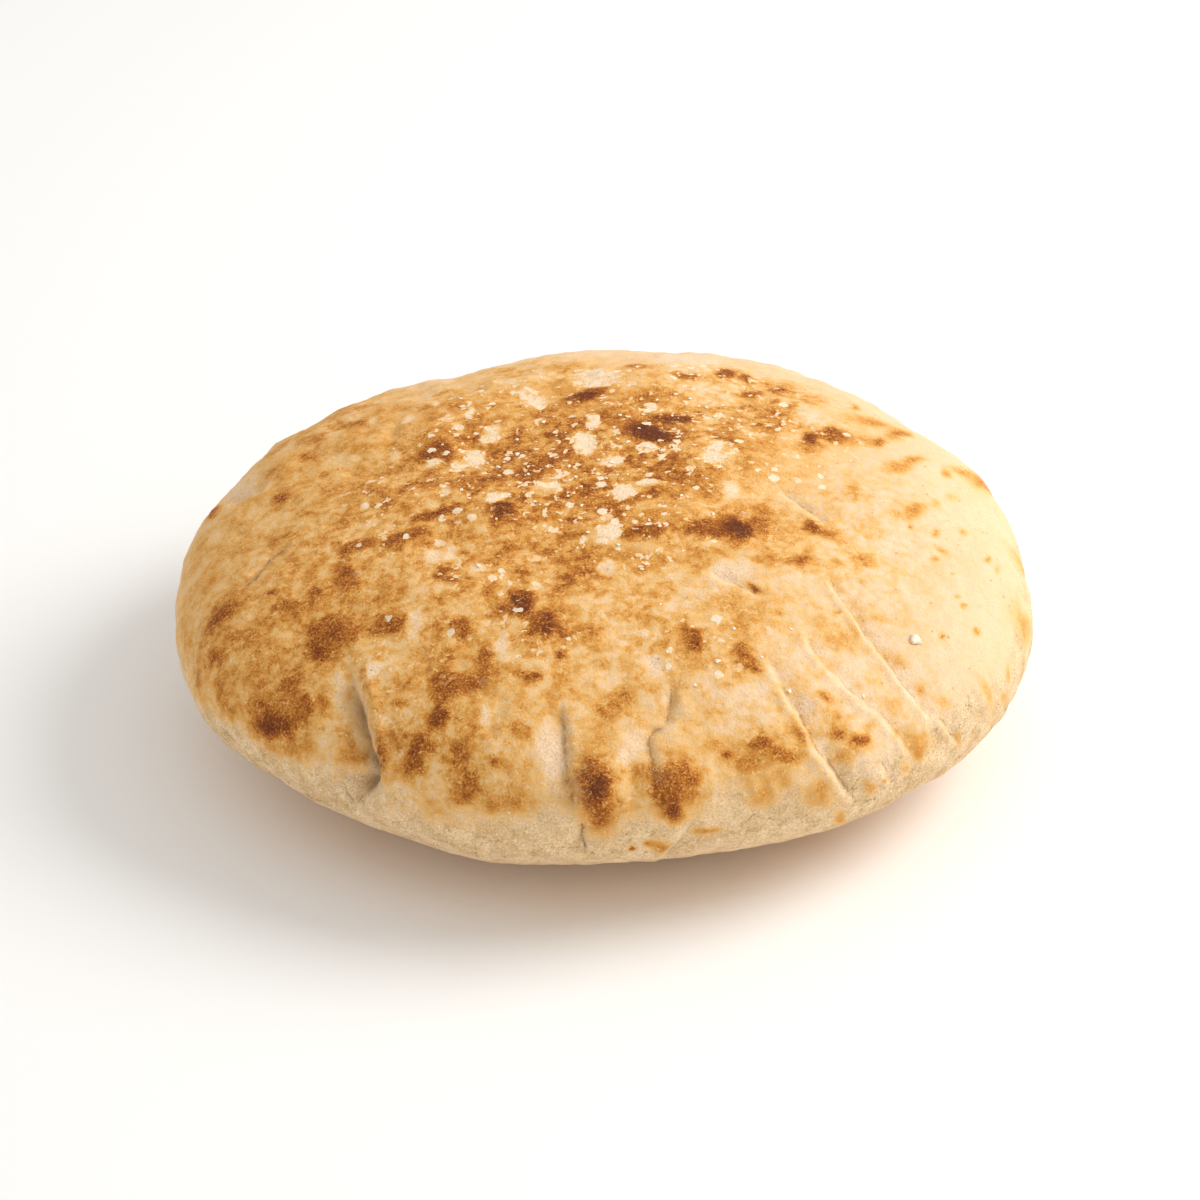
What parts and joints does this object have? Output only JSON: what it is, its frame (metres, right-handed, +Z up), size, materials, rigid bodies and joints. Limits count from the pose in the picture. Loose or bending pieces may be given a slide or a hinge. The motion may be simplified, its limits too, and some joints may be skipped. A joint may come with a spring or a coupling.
{
  "type": "pita bread",
  "caption": "Whole puffed round flatbread: a domed, slightly oval cushion with radial folds near its rim and a level underside to rest on.",
  "frame": {"origin": "bottom centre of the bounding box, on the level underside", "axes": "+Z up out of the domed top, -Y towards the front, +X to the right"},
  "size_m": [0.166, 0.156, 0.055],
  "materials": {
    "baked_crust": null
  },
  "bodies": {
    "root": {"pita_bread": "baked_crust"}
  },
  "joints": []
}
